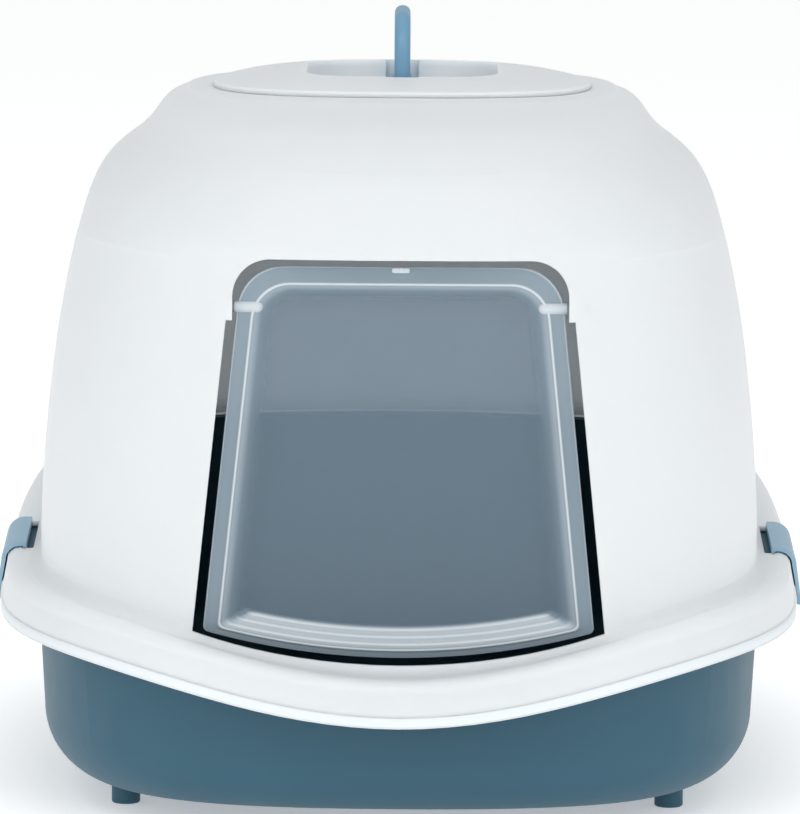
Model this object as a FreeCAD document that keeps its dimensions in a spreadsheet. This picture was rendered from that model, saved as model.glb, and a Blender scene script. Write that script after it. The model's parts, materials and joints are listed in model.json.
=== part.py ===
import FreeCAD, Part
import Sketcher
import math
import os

# A hooded litter box: a tray on four feet, a domed hood with a swing door and a filter well,
# a crowned top cover with a folding handle, and two latches that hold the brim.
# Millimetres, +Z up, the door faces -Y, the origin is under the middle of the box.

Vector = FreeCAD.Vector
doc = FreeCAD.newDocument("litter_box")

driving_sizes = {
    # Brim outline and the seam line that it follows
    "box_width": 400.0,
    "box_length": 560.0,
    "widest_ahead": 40.0,
    "seam_front": 59.0,
    "seam_side": 88.0,
    "seam_rear": 126.0,
    "seam_turn_ahead": 80.0,
    "seam_turn_length": 40.0,
    "seam_level_behind": 175.0,
    "seam_level_length": 60.0,
    # Hood
    "hood_wall": 2.5,
    "skirt_height": 15.5,
    "skirt_draft": 3.0,
    "brim_radius": 6.5,
    "ledge_side": 14.5,
    "ledge_front": 20.0,
    "ledge_rear": 16.0,
    "neck_radius": 6.0,
    "roof_height": 342.4,
    # Door opening
    "door_top": 276.0,
    "door_corner": 18.0,
    "door_step_width": 165.0,
    "door_step_in": 3.0,
    "door_step_drop": 6.0,
    "door_sill_width": 195.6,
    "door_sill_rise": 25.8,
    "door_sill_sag": 14.0,
    "hinge_height": 253.0,
    "hinge_setback": 13.4,
    # Bearing blocks of the door
    "block_gap": 0.5,
    "block_width": 9.0,
    "block_behind": 5.6,
    "block_height": 12.0,
    # Door flap
    "flap_gap_side": 4.7,
    "flap_gap_top": 3.5,
    "flap_gap_sill": 0.8,
    "flap_thickness": 1.6,
    "flap_forward": 4.0,
    "flap_corner": 22.0,
    "flap_foot_corner": 3.0,
    "flange_width": 10.5,
    "bead_width": 2.0,
    "bead_height": 0.8,
    "slope_width": 11.0,
    "flap_recess": 9.0,
    "panel_corner": 5.0,
    "stub_radius": 3.0,
    "stub_length": 25.0,
    "stub_seat": 7.0,
    "tab_width": 8.0,
    "tab_height": 3.4,
    # Filter well in the roof
    "well_gap_side": 9.3,
    "well_gap_end": 3.5,
    "well_wall": 2.2,
    "vent_border": 14.0,
    "vent_width": 4.0,
    "vent_length": 96.0,
    "vent_pitch": 14.0,
    "filter_thickness": 8.5,
    "filter_headroom": 2.8,
    "filter_gap": 1.0,
    "filter_corner": 8.0,
    # Top cover
    "cover_width": 192.0,
    "cover_length": 190.0,
    "cover_lip": 3.0,
    "cover_edge": 1.2,
    "cover_crown": 6.5,
    "cover_tilt": 2.0,
    "cover_wall": 2.2,
    "dish_gap_side": 7.0,
    "dish_gap_end": 2.0,
    "dish_round": 26.0,
    "notch_gap": 2.5,
    "hub_gap": 0.5,
    # Carry handle
    "pivot_drop": 2.4,
    "bail_height": 41.5,
    "bail_length": 100.0,
    "bail_section": 8.0,
    "bail_corner": 20.0,
    "bail_edge": 3.7,
    "hub_radius": 6.0,
    "hub_length": 4.5,
    "pin_radius": 2.5,
    "pin_length": 4.6,
    # Tray
    "tray_wall": 2.6,
    "tray_inset_side": 19.0,
    "tray_inset_front": 28.0,
    "tray_inset_rear": 24.0,
    "tray_draft": 3.5,
    "tray_corner": 30.0,
    "rim_gap": 1.35,
    "rim_thickness": 2.4,
    "rim_slope": 3.4,
    "lip_inset": 6.6,
    "lip_drop": 14.0,
    # Feet
    "foot_height": 10.0,
    "foot_radius": 7.0,
    "foot_edge": 1.2,
    "foot_inset_side": 67.0,
    "foot_inset_end": 127.0,
    # Latches
    "latch_length": 50.0,
    "latch_thickness": 2.2,
    "latch_gap": 0.6,
    "latch_tail": 5.0,
    "barb_length": 3.0,
    "barb_height": 2.9,
    "bar_radius": 0.9,
    "bar_length": 56.0,
    "bar_inset": 12.0,
    "slot_behind": 4.5,
    "slot_ahead": 1.5,
    # Clearances shared by several pieces, and the overrun of every cut
    "running_fit": 0.08,
    "end_play": 0.6,
    "overrun": 5.0,
}

sheet = doc.addObject("Spreadsheet::Sheet", "sizes")
for line, (alias, value) in enumerate(driving_sizes.items(), start=1):
    sheet.set("A%d" % line, alias)
    sheet.set("B%d" % line, str(value))
    sheet.setAlias("B%d" % line, alias)
doc.recompute()


def size(alias):
    return sheet.get(alias)


def worked_out(expression):
    return sheet.evalExpression(expression)


half_width = size("box_width") / 2
half_length = size("box_length") / 2
middle = -size("widest_ahead")
wall = size("hood_wall")
ledge_height = size("skirt_height") + size("brim_radius")
neck_height = ledge_height + size("neck_radius")
roof = size("roof_height")
hinge_z = size("hinge_height")
overrun = size("overrun")

# Outline shares of a quarter: side handle, corner across, corner along, end handle
brim_shares = (0.49, 0.925, 0.825, 0.64)
foot_shares = (0.49, 0.94, 0.85, 0.70)
dome_shares = (0.50, 0.97, 0.90, 0.78)
roof_shares = (0.45, 0.90, 0.85, 0.55)
cover_shares = (0.46, 0.88, 0.88, 0.58)
tray_rim_shares = (0.51, 0.95, 0.86, 0.70)
tray_floor_shares = (0.54, 0.93, 0.88, 0.66)

# Dome rows: share of the height above the neck, and shares of the neck's width, front and rear
dome_row_shares = (
    (0.17, 0.994, 0.991, 0.988),
    (0.37, 0.972, 0.981, 0.969),
    (0.57, 0.937, 0.970, 0.944),
    (0.72, 0.895, 0.959, 0.911),
    (0.77, 0.877, 0.952, 0.895),
    (0.815, 0.849, 0.934, 0.871),
    (0.855, 0.801, 0.914, 0.844),
    (0.89, 0.750, 0.886, 0.810),
    (0.917, 0.719, 0.848, 0.775),
    (0.95, 0.690, 0.783, 0.717),
    (0.98, 0.655, 0.661, 0.612),
    (1.0, 0.608, 0.520, 0.520),
)
flat_share = 0.37
shoulder_share = 0.72
crown_row_shares = (0.97, 0.85, 0.68, 0.48, 0.28, 0.12)
floor_square_share = 0.5
half_share = 0.5
diagonal_share = math.sqrt(half_share)

# Stations round a ring: which side, which end, and how far along that quarter
quarters = ((1, 1, True), (-1, 1, False), (-1, -1, True), (1, -1, False))
quarter_steps = 10
arc_steps = 4
stations = []
for side, end, outward in quarters:
    for step in range(quarter_steps):
        along_quarter = step / quarter_steps
        stations.append((side, end, along_quarter if outward else 1 - along_quarter))
ring_parameters = [float(index) for index in range(len(stations) + 1)]


def quarter_point(u, shares):
    side_handle, corner_across, corner_along, end_handle = shares
    v = 1 - u
    weights = (v ** 4, 4 * v ** 3 * u, 6 * v * v * u * u, 4 * v * u ** 3, u ** 4)
    across = weights[0] + weights[1] + weights[2] * corner_across + weights[3] * end_handle
    along = weights[1] * side_handle + weights[2] * corner_along + weights[3] + weights[4]
    return across, along


def ring(reach_side, reach_front, reach_rear, centre, shares, heights):
    points = []
    for (side, end, u), height in zip(stations, heights):
        across, along = quarter_point(u, shares)
        reach = reach_rear - centre if end > 0 else reach_front + centre
        points.append(Vector(side * reach_side * across, centre + end * reach * along, height))
    return points


def level(height):
    return [height] * len(stations)


def blend(first, second, share):
    return tuple(a + (b - a) * share for a, b in zip(first, second))


def between(first, second, share):
    return [a + (b - a) * share for a, b in zip(first, second)]


def seam_height(x_share, y, end):
    turn = size("seam_turn_ahead")
    bend = size("seam_turn_length")
    levelling = size("seam_level_behind")
    slope = (size("seam_rear") - size("seam_side")) / (turn + levelling)
    climb = math.hypot(y + turn, bend) + turn
    climb -= math.hypot(y - levelling, size("seam_level_length")) - levelling
    height = size("seam_side") + slope * climb / 2
    if end < 0:
        dip = size("seam_side") - size("seam_front")
        height -= dip * (1 + math.cos(math.pi * x_share)) / 2
    return height


brim_line = ring(half_width, half_length, half_length, middle, brim_shares, level(0))
seam = [
    seam_height(quarter_point(u, brim_shares)[0], point.y, end)
    for (side, end, u), point in zip(stations, brim_line)
]


def above_seam(rise):
    return [height + rise for height in seam]


def rim_ring(insets, rise, shares):
    side, front, rear = insets
    heights = above_seam(rise)
    return ring(half_width - side, half_length - front, half_length - rear, middle, shares, heights)


def ring_wire(points):
    # One smooth closed curve, split at the four corners of the box
    curve = Part.BSplineCurve()
    curve.interpolate(Points=points, PeriodicFlag=True, Parameters=ring_parameters)
    corners = [quarter_steps * (quarter + half_share) for quarter in range(len(quarters) + 1)]
    return Part.Wire([curve.toShape(first, last) for first, last in zip(corners, corners[1:])])


def strip(rows):
    return Part.makeLoft([ring_wire(row) for row in rows], False, len(rows) == 2).Faces


def cap(points):
    return Part.Face(ring_wire(points))


def closed_solid(faces):
    skin = Part.makeCompound(faces)
    skin.sewShape()
    solid = Part.Solid(skin.Shells[0])
    if solid.Volume < 0:
        solid.reverse()
    return solid


def inner_rows(rows, thickness):
    # Each point steps back along the normal of the skin
    count = len(stations)
    inner = []
    for j, row in enumerate(rows):
        above = rows[min(j + 1, len(rows) - 1)]
        below = rows[max(j - 1, 0)]
        points = []
        for i, point in enumerate(row):
            round_way = row[(i + 1) % count] - row[i - 1]
            up_way = above[i] - below[i]
            normal = round_way.cross(up_way).normalize()
            points.append(point - normal * thickness)
        inner.append(points)
    return inner


def at_heights(points, heights):
    return [Vector(point.x, point.y, height) for point, height in zip(points, heights)]


def quarter_angles(steps):
    return [math.pi / 2 * step / steps for step in range(steps + 1)]


def add_feature(name, shape):
    feature = doc.addObject("Part::Feature", name)
    feature.Shape = shape
    return feature


def add_bound(kind, name, bindings):
    bound = doc.addObject(kind, name)
    for prop, expression in bindings.items():
        bound.setExpression(prop, expression)
    return bound


def fuse_all(name, pieces):
    fused = doc.addObject("Part::MultiFuse", name)
    fused.Shapes = pieces
    return fused


def cut_away(name, base, tool):
    cut = doc.addObject("Part::Cut", name)
    cut.Base = base
    cut.Tool = tool
    return cut


# Hood skin: skirt, round edge, ledge, neck and dome, bottom to top
def hood_rows():
    draft = size("skirt_draft")
    radius = size("brim_radius")
    neck = size("neck_radius")
    ledge = (size("ledge_side"), size("ledge_front"), size("ledge_rear"))
    rows = [rim_ring((0, 0, 0), 0, brim_shares)]
    for angle in quarter_angles(arc_steps):
        inset = draft + radius * (1 - math.cos(angle))
        rise = size("skirt_height") + radius * math.sin(angle)
        rows.append(rim_ring((inset, inset, inset), rise, brim_shares))
    for angle in quarter_angles(arc_steps):
        insets = [inset + neck * math.sin(angle) for inset in ledge]
        rise = neck_height - neck * math.cos(angle)
        rows.append(rim_ring(insets, rise, foot_shares))
    foot = above_seam(neck_height)
    foot_side = half_width - ledge[0] - neck
    foot_front = half_length - ledge[1] - neck
    foot_rear = half_length - ledge[2] - neck
    for rise, across, front, rear in dome_row_shares:
        square_up = min(1, rise / flat_share)
        round_over = max(0, rise - shoulder_share) / (1 - shoulder_share)
        shares = blend(blend(foot_shares, dome_shares, square_up), roof_shares, round_over)
        rows.append(ring(
            foot_side * across,
            foot_front * front,
            foot_rear * rear,
            middle * (1 - rise),
            shares,
            between(foot, level(roof), rise),
        ))
    return rows


hood_skin = hood_rows()
hood_lining = inner_rows(hood_skin, wall)
hood_lining[0] = at_heights(hood_lining[0], seam)
hood_lining[-1] = at_heights(hood_lining[-1], level(roof - wall))
edge_end = 1 + arc_steps
neck_end = edge_end + 1 + arc_steps
dome_third = len(dome_row_shares) // 3
hood_bands = [(0, 1), (1, edge_end), (edge_end, edge_end + 1), (edge_end + 1, neck_end)]
for first in range(neck_end, len(hood_skin) - 1, dome_third):
    hood_bands.append((first, first + dome_third))
hood_faces = [cap(hood_skin[-1]), cap(hood_lining[-1])]
hood_faces += strip([hood_skin[0], hood_lining[0]])
for first, last in hood_bands:
    hood_faces += strip(hood_skin[first:last + 1])
    hood_faces += strip(hood_lining[first:last + 1])
hood_shell = add_feature("hood_shell", closed_solid(hood_faces))


def front_face_y(x, height):
    # Straight lines between the rows of the skin, then between the stations of the right front quarter
    places = []
    for index in range(len(stations) - quarter_steps, len(stations)):
        for lower, upper in zip(hood_skin, hood_skin[1:]):
            low = lower[index]
            high = upper[index]
            if low.z <= height < high.z:
                places.append(low + (high - low) * ((height - low.z) / (high.z - low.z)))
    for near, far in zip(places, places[1:]):
        if near.x <= x < far.x:
            return near.y + (far.y - near.y) * (x - near.x) / (far.x - near.x)


# Door outline, in a plane that faces the front
hinge_y = front_face_y(0, hinge_z) + size("hinge_setback")
sill_half = size("door_sill_width") / 2
sill_z = size("seam_front") + size("door_sill_rise")
sill_radius = (sill_half ** 2 + size("door_sill_sag") ** 2) / (2 * size("door_sill_sag"))
sill_centre = Vector(0, 0, sill_z + sill_radius)
step_half = size("door_step_width") / 2
step_z = hinge_z - size("door_step_drop")
sill_corner = Vector(sill_half, 0, sill_z + size("door_sill_sag"))
step_corner = Vector(step_half, 0, step_z)
side_line = (step_corner - sill_corner).normalize()
side_inward = Vector(-side_line.z, 0, side_line.x)


def mirrored(point):
    return Vector(-point.x, point.y, point.z)


def arc(first, through, last):
    return Part.Arc(first, through, last).toShape()


def line_between(first, last):
    return Part.LineSegment(first, last).toShape()


def moved_to(wire, y):
    moved = wire.copy()
    moved.translate(Vector(0, y, 0))
    return moved


def door_wire():
    top_half = step_half - size("door_step_in")
    corner = size("door_corner")
    corner_centre = Vector(top_half - corner, 0, size("door_top") - corner)
    corner_mid = corner_centre + Vector(diagonal_share, 0, diagonal_share) * corner
    right = [
        sill_corner,
        step_corner,
        Vector(top_half, 0, step_z),
        corner_centre + Vector(corner, 0, 0),
        corner_centre + Vector(0, 0, corner),
    ]
    left = [mirrored(point) for point in right]
    edges = [arc(left[0], Vector(0, 0, sill_z), right[0])]
    edges += [line_between(right[step], right[step + 1]) for step in range(3)]
    edges += [arc(right[3], corner_mid, right[4]), line_between(right[4], left[4])]
    edges += [arc(left[4], mirrored(corner_mid), left[3])]
    edges += [line_between(left[step + 1], left[step]) for step in (2, 1, 0)]
    return Part.Wire(edges)


door_start = -half_length - overrun
door_reach = hinge_y + size("block_behind") - door_start
door_tool = Part.Face(moved_to(door_wire(), door_start)).extrude(Vector(0, door_reach, 0))
door_cut = add_feature("door_cut", door_tool)


def side_start(side, near, length):
    return near if side > 0 else -near - length


def along_x(base):
    return FreeCAD.Placement(base, FreeCAD.Rotation(Vector(0, 0, 1), Vector(1, 0, 0)))


side_names = {-1: "left", 1: "right"}
hood_additions = []
hood_cutters = [door_cut]

# Bearing blocks for the door's stubs, grown from the back of the front wall
block_start = step_half + size("block_gap")
block_width = size("block_width")
block_front = front_face_y(block_start + block_width, hinge_z) + wall / 2
block_bottom = hinge_z - size("block_height") / 2
stub_length = size("stub_length")
stub_start = block_start + size("stub_seat") - stub_length
hole_start = block_start - size("end_play")
hole_length = size("stub_seat") + 2 * size("end_play")
for side, name in side_names.items():
    block = add_bound("Part::Box", "bearing_block_" + name, {
        "Length": "sizes.block_width",
        "Height": "sizes.block_height",
    })
    block.Width = hinge_y + size("block_behind") - block_front
    block.Placement.Base = Vector(side_start(side, block_start, block_width), block_front, block_bottom)
    hood_additions.append(block)
    hole = add_bound("Part::Cylinder", "stub_hole_" + name, {
        "Radius": "sizes.stub_radius + sizes.running_fit",
        "Height": "sizes.stub_seat + 2 * sizes.end_play",
    })
    hole.Placement = along_x(Vector(side_start(side, hole_start, hole_length), hinge_y, hinge_z))
    hood_cutters.append(hole)

# Dish for the folded handle: it sinks into the roof, and its ends hold the handle's pins
dish_half = "(sizes.bail_height + sizes.dish_gap_side)"
dish_end = "(sizes.bail_length / 2 + sizes.dish_gap_end)"
dish_depth = "(sizes.pivot_drop + sizes.hub_radius + sizes.hub_gap)"
notch_half = "(sizes.hub_radius + sizes.notch_gap)"
notch_reach = "(sizes.bail_length / 2 + sizes.hub_length + sizes.end_play)"
bearing_end = "(%s + sizes.pin_length + sizes.end_play + sizes.cover_wall)" % notch_reach

# Filter well that hangs from the roof round the dish, with vent slots in its floor
well_half = "(%s + sizes.cover_wall + sizes.well_gap_side)" % dish_half
well_end = "(%s + sizes.well_gap_end)" % bearing_end
well_depth = "(%s + sizes.cover_wall + sizes.filter_headroom + sizes.filter_thickness)" % dish_depth
well_floor = "sizes.roof_height - %s" % well_depth
hood_additions.append(add_bound("Part::Box", "well_block", {
    "Length": "2 * (%s + sizes.well_wall)" % well_half,
    "Width": "2 * (%s + sizes.well_wall)" % well_end,
    "Height": well_depth + " + sizes.well_wall - sizes.hood_wall / 2",
    "Placement.Base.x": "-%s - sizes.well_wall" % well_half,
    "Placement.Base.y": "-%s - sizes.well_wall" % well_end,
    "Placement.Base.z": well_floor + " - sizes.well_wall",
}))
hood_cutters.append(add_bound("Part::Box", "well_room", {
    "Length": "2 * " + well_half,
    "Width": "2 * " + well_end,
    "Height": well_depth + " + sizes.overrun",
    "Placement.Base.x": "-" + well_half,
    "Placement.Base.y": "-" + well_end,
    "Placement.Base.z": well_floor,
}))
vent_room = 2 * (worked_out(well_half) - size("vent_border")) - size("vent_width")
vent_count = 1 + int(vent_room / size("vent_pitch"))
for index in range(vent_count):
    place = "%s * sizes.vent_pitch" % (index - (vent_count - 1) / 2)
    hood_cutters.append(add_bound("Part::Box", "vent_%d" % (index + 1), {
        "Length": "sizes.vent_width",
        "Width": "sizes.vent_length",
        "Height": "sizes.well_wall + 2 * sizes.overrun",
        "Placement.Base.x": place + " - sizes.vent_width / 2",
        "Placement.Base.y": "-sizes.vent_length / 2",
        "Placement.Base.z": well_floor + " - sizes.well_wall - sizes.overrun",
    }))

# Latch frame on each side: its origin is on the brim's lower edge, its long axis follows the seam
latch_seam = seam_height(1, middle, 1)
latch_half = size("latch_length") / 2
latch_climb = seam_height(1, middle + latch_half, 1) - seam_height(1, middle - latch_half, 1)
latch_slope = latch_climb / size("latch_length")
latch_along = Vector(0, 1, latch_slope).normalize()
latch_up = Vector(1, 0, 0).cross(latch_along)
bar_rise = ledge_height - wall / 2


def latch_placement(side, inset, rise, along):
    base = Vector(side * (half_width - inset), middle, latch_seam)
    base += latch_up * rise + latch_along * along
    tilt = FreeCAD.Rotation(Vector(1, 0, 0), math.degrees(math.atan(latch_slope)))
    return FreeCAD.Placement(base, tilt)


# Latch slots in the ledge, and the bearing holes for the latch bars in their ends
slot_start = -latch_half - size("end_play")
slot_bottom = ledge_height - wall - overrun
for side, name in side_names.items():
    outer_inset = size("bar_inset") - size("slot_ahead")
    inner_inset = size("bar_inset") + size("slot_behind")
    slot = add_bound("Part::Box", "latch_slot_" + name, {
        "Length": "sizes.slot_behind + sizes.slot_ahead",
        "Width": "sizes.latch_length + 2 * sizes.end_play",
        "Height": "sizes.hood_wall + 2 * sizes.overrun",
    })
    corner_inset = inner_inset if side > 0 else outer_inset
    slot.Placement = latch_placement(side, corner_inset, slot_bottom, slot_start)
    hood_cutters.append(slot)
    hole = add_bound("Part::Cylinder", "bar_hole_" + name, {
        "Radius": "sizes.bar_radius + sizes.running_fit",
        "Height": "sizes.bar_length + 2 * sizes.end_play",
    })
    hole_start = -size("bar_length") / 2 - size("end_play")
    turn_down = FreeCAD.Placement(Vector(), FreeCAD.Rotation(Vector(0, 0, 1), Vector(0, 1, 0)))
    hole.Placement = latch_placement(side, size("bar_inset"), bar_rise, hole_start).multiply(turn_down)
    hood_cutters.append(hole)

hood_blank = fuse_all("hood_blank", [hood_shell] + hood_additions)
hood_cutting = fuse_all("hood_cutting", hood_cutters)
hood = cut_away("hood", hood_blank, hood_cutting)


# Tray skin: rounded floor edge and drafted wall, then the rim that turns over under the ledge
rim_top = ledge_height - wall - size("rim_gap")
rim_under = rim_top - size("rim_thickness")
tray_insets = (size("tray_inset_side"), size("tray_inset_front"), size("tray_inset_rear"))
foot_height = size("foot_height")


def tray_rows():
    corner = size("tray_corner")
    rows = []
    wall_insets = [inset + size("tray_draft") for inset in tray_insets]
    for step, angle in enumerate(quarter_angles(arc_steps)):
        pull = corner * (1 - math.sin(angle))
        rows.append(ring(
            half_width - wall_insets[0] - pull,
            half_length - wall_insets[1] - pull,
            half_length - wall_insets[2] - pull,
            middle,
            blend(tray_floor_shares, tray_rim_shares, floor_square_share * step / arc_steps),
            level(foot_height + corner * (1 - math.cos(angle))),
        ))
    half_insets = [inset + size("tray_draft") / 2 for inset in tray_insets]
    half_heights = between(level(foot_height + corner), above_seam(rim_under), half_share)
    half_shares = blend(tray_floor_shares, tray_rim_shares, (1 + floor_square_share) / 2)
    rows.append(at_heights(rim_ring(half_insets, 0, half_shares), half_heights))
    rows.append(rim_ring(tray_insets, rim_under, tray_rim_shares))
    return rows


tray_skin = tray_rows()
tray_lining = inner_rows(tray_skin, size("tray_wall"))
tray_lining[0] = at_heights(tray_lining[0], level(foot_height + size("tray_wall")))
lining_insets = [inset + size("tray_wall") for inset in tray_insets]
tray_lining[-1] = rim_ring(lining_insets, rim_top, tray_rim_shares)
lip_outer = size("lip_inset")
lip_inner = lip_outer + size("rim_thickness")
lip_bottom = rim_top - size("lip_drop")
rim_edge = lip_outer + size("rim_slope")
tray_rim = [
    tray_skin[-1],
    rim_ring([lip_inner] * 3, rim_under, brim_shares),
    rim_ring([lip_inner] * 3, lip_bottom, brim_shares),
    rim_ring([lip_outer] * 3, lip_bottom, brim_shares),
    rim_ring([lip_outer] * 3, rim_top - size("rim_slope"), brim_shares),
    rim_ring([rim_edge] * 3, rim_top, brim_shares),
    tray_lining[-1],
]
tray_faces = [cap(tray_skin[0]), cap(tray_lining[0])]
for rows in (tray_skin, tray_lining):
    tray_faces += strip(rows[:arc_steps + 1]) + strip(rows[arc_steps:])
for lower, upper in zip(tray_rim, tray_rim[1:]):
    tray_faces += strip([lower, upper])
tray = add_feature("tray", closed_solid(tray_faces))


def sketch_on(body, name, role):
    sketch = body.newObject("Sketcher::SketchObject", name)
    plane = [item for item in body.Origin.OriginFeatures if item.Role == role][0]
    sketch.AttachmentSupport = [(plane, "")]
    sketch.MapMode = "FlatFace"
    return sketch


def add_circle(sketch, centre, radius, expression):
    index = sketch.addGeometry(Part.Circle(centre, Vector(0, 0, 1), radius), False)
    constraint = sketch.addConstraint(Sketcher.Constraint("Radius", index, radius))
    sketch.setExpression("Constraints[%d]" % constraint, expression)


def add_pad(body, name, sketch, length, both_ways):
    pad = body.newObject("PartDesign::Pad", name)
    pad.Profile = sketch
    pad.setExpression("Length", length)
    if both_ways:
        pad.SideType = "Symmetric"
    doc.recompute()
    return pad


def edge_names(feature, test):
    return ["Edge%d" % (index + 1) for index, edge in enumerate(feature.Shape.Edges) if test(edge)]


def add_fillet(body, name, base, test, radius):
    fillet = body.newObject("PartDesign::Fillet", name)
    fillet.Base = (base, edge_names(base, test))
    fillet.setExpression("Radius", radius)
    doc.recompute()
    return fillet


# Feet: pegs whose tops follow the tray's rounded floor edge
floor_rows = tray_skin[:arc_steps + 1]
floor_faces = [cap(floor_rows[0]), cap(floor_rows[-1])] + strip(floor_rows)
floor_solid = closed_solid(floor_faces)
feet = []


def is_foot_edge(edge):
    return edge.BoundBox.ZMax < foot_height / 2


for end, end_name in ((-1, "front"), (1, "rear")):
    for side, side_name in side_names.items():
        name = "foot_%s_%s" % (end_name, side_name)
        body = doc.addObject("PartDesign::Body", name + "_peg")
        outline = sketch_on(body, name + "_outline", "XY_Plane")
        add_circle(outline, Vector(), size("foot_radius"), "sizes.foot_radius")
        peg = add_pad(body, name + "_pad", outline, "sizes.foot_height + sizes.tray_corner / 2", False)
        add_fillet(body, name + "_edge", peg, is_foot_edge, "sizes.foot_edge")
        body.setExpression("Placement.Base.x", "%d * (sizes.box_width / 2 - sizes.foot_inset_side)" % side)
        body.setExpression("Placement.Base.y", "%d * (sizes.box_length / 2 - sizes.foot_inset_end)" % end)
        feet.append(cut_away(name, body, add_feature(name + "_seat", floor_solid)))


# Door flap outline: the door's lines, set back by the gaps and a further inset
def flap_wire(inset, top_corner, foot_corner, y):
    set_back = size("flap_gap_side") + inset
    top = size("door_top") - size("flap_gap_top") - inset
    arc_radius = sill_radius - size("flap_gap_sill") - inset
    on_side = sill_corner + side_inward * set_back

    top_line = on_side + side_inward * top_corner
    top_centre = top_line + side_line * ((top - top_corner - top_line.z) / side_line.z)
    foot_line = on_side + side_inward * foot_corner
    to_line = foot_line - sill_centre
    nearest = to_line.dot(side_line)
    spare = to_line.dot(to_line) - (arc_radius - foot_corner) ** 2
    foot_centre = foot_line - side_line * (nearest + math.sqrt(nearest ** 2 - spare))
    foot_ray = (foot_centre - sill_centre).normalize()

    foot_on_arc = sill_centre + foot_ray * arc_radius
    foot_on_side = foot_centre - side_inward * foot_corner
    foot_mid = foot_centre + (foot_ray - side_inward).normalize() * foot_corner
    top_on_side = top_centre - side_inward * top_corner
    top_on_edge = top_centre + Vector(0, 0, top_corner)
    top_mid = top_centre + (Vector(0, 0, 1) - side_inward).normalize() * top_corner
    lowest = sill_centre - Vector(0, 0, arc_radius)

    edges = [arc(mirrored(foot_on_arc), lowest, foot_on_arc)]
    edges += [arc(foot_on_arc, foot_mid, foot_on_side)]
    edges += [line_between(foot_on_side, top_on_side)]
    edges += [arc(top_on_side, top_mid, top_on_edge)]
    edges += [line_between(top_on_edge, mirrored(top_on_edge))]
    edges += [arc(mirrored(top_on_edge), mirrored(top_mid), mirrored(top_on_side))]
    edges += [line_between(mirrored(top_on_side), mirrored(foot_on_side))]
    edges += [arc(mirrored(foot_on_side), mirrored(foot_mid), mirrored(foot_on_arc))]
    return moved_to(Part.Wire(edges), y)


# Door flap: flat flange, raised bead, sloped wall and sunk panel
flap_front = hinge_y - size("flap_forward")
sheet_thickness = size("flap_thickness")
recess = size("flap_recess")
border = size("flange_width")
slope = size("slope_width")
panel_corner = size("panel_corner")
border_corner = size("flap_corner") - border
wall_step = sheet_thickness * slope / math.hypot(slope, recess)

flap_edge = flap_wire(0, size("flap_corner"), size("flap_foot_corner"), flap_front)
flange = Part.Face(flap_edge).extrude(Vector(0, sheet_thickness, 0))
bead_width = size("bead_width")
bead_edge = flap_wire(border - bead_width, border_corner + bead_width, panel_corner, flap_front)
bead = Part.Face(bead_edge).extrude(Vector(0, -size("bead_height"), 0))
panel_front = flap_front + recess
panel_back = panel_front + sheet_thickness
back_rows = [
    flap_wire(border - wall_step, border_corner + wall_step, panel_corner, flap_front),
    flap_wire(border + slope - wall_step, panel_corner, panel_corner, panel_back),
]
mouth = flap_wire(border, border_corner, panel_corner, flap_front)
hollow_rows = [mouth, flap_wire(border + slope, panel_corner, panel_corner, panel_front)]
panel_back_solid = Part.makeLoft(back_rows, True, True)
panel_hollow = Part.makeLoft(hollow_rows, True, True)
mouth_room = Part.Face(mouth).extrude(Vector(0, -size("bead_height") - overrun, 0))
flap_solid = flange.fuse([bead, panel_back_solid]).cut(panel_hollow).cut(mouth_room)
flap_sheet = add_feature("flap_sheet", flap_solid.removeSplitter())

flap_pieces = [flap_sheet]
for side, name in side_names.items():
    stub = add_bound("Part::Cylinder", "hinge_stub_" + name, {
        "Radius": "sizes.stub_radius",
        "Height": "sizes.stub_length",
    })
    stub.Placement = along_x(Vector(side_start(side, stub_start, stub_length), hinge_y, hinge_z))
    flap_pieces.append(stub)
flap_tab = add_bound("Part::Box", "flap_tab", {
    "Length": "sizes.tab_width",
    "Width": "sizes.flap_thickness",
    "Height": "sizes.tab_height",
})
tab_bottom = size("door_top") - size("flap_gap_top") - size("tab_height")
flap_tab.Placement.Base = Vector(-size("tab_width") / 2, flap_front - size("bead_height"), tab_bottom)
flap_pieces.append(flap_tab)
door_flap = fuse_all("door_flap", flap_pieces)

# Top cover: a crowned shell on the flat of the roof
cover_half = size("cover_width") / 2
cover_end = size("cover_length") / 2
lip_top = roof + size("cover_lip")
cover_edge = size("cover_edge")


def cover_ring(inset, share, height):
    across = (cover_half - inset) * share
    along = (cover_end - inset) * share
    return ring(across, along, along, 0, cover_shares, level(height))


def crowned(points, share):
    # The crown is fuller at the rear
    fullness = 1 - share ** 4
    rises = [(size("cover_crown") + size("cover_tilt") * point.y / cover_end) * fullness for point in points]
    return at_heights(points, [point.z + rise for point, rise in zip(points, rises)])


cover_skin = [cover_ring(0, 1, roof)]
for angle in quarter_angles(arc_steps):
    edge_inset = cover_edge * (1 - math.cos(angle))
    cover_skin.append(cover_ring(edge_inset, 1, lip_top - cover_edge * (1 - math.sin(angle))))
cover_wall = size("cover_wall")
cover_lining = [cover_ring(cover_wall, 1, roof), cover_ring(cover_wall, 1, lip_top - cover_wall)]
for share in crown_row_shares:
    cover_skin.append(crowned(cover_ring(cover_edge, share, lip_top), share))
    cover_lining.append(crowned(cover_ring(cover_wall, share, lip_top - cover_wall), share))
skin_bands = ((0, 1), (1, edge_end), (edge_end, len(cover_skin) - 1))
lining_bands = ((0, 1), (1, len(cover_lining) - 1))


def filled(rows, bands):
    faces = [cap(rows[0]), cap(rows[-1])]
    for first, last in bands:
        faces += strip(rows[first:last + 1])
    return closed_solid(faces)


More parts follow.
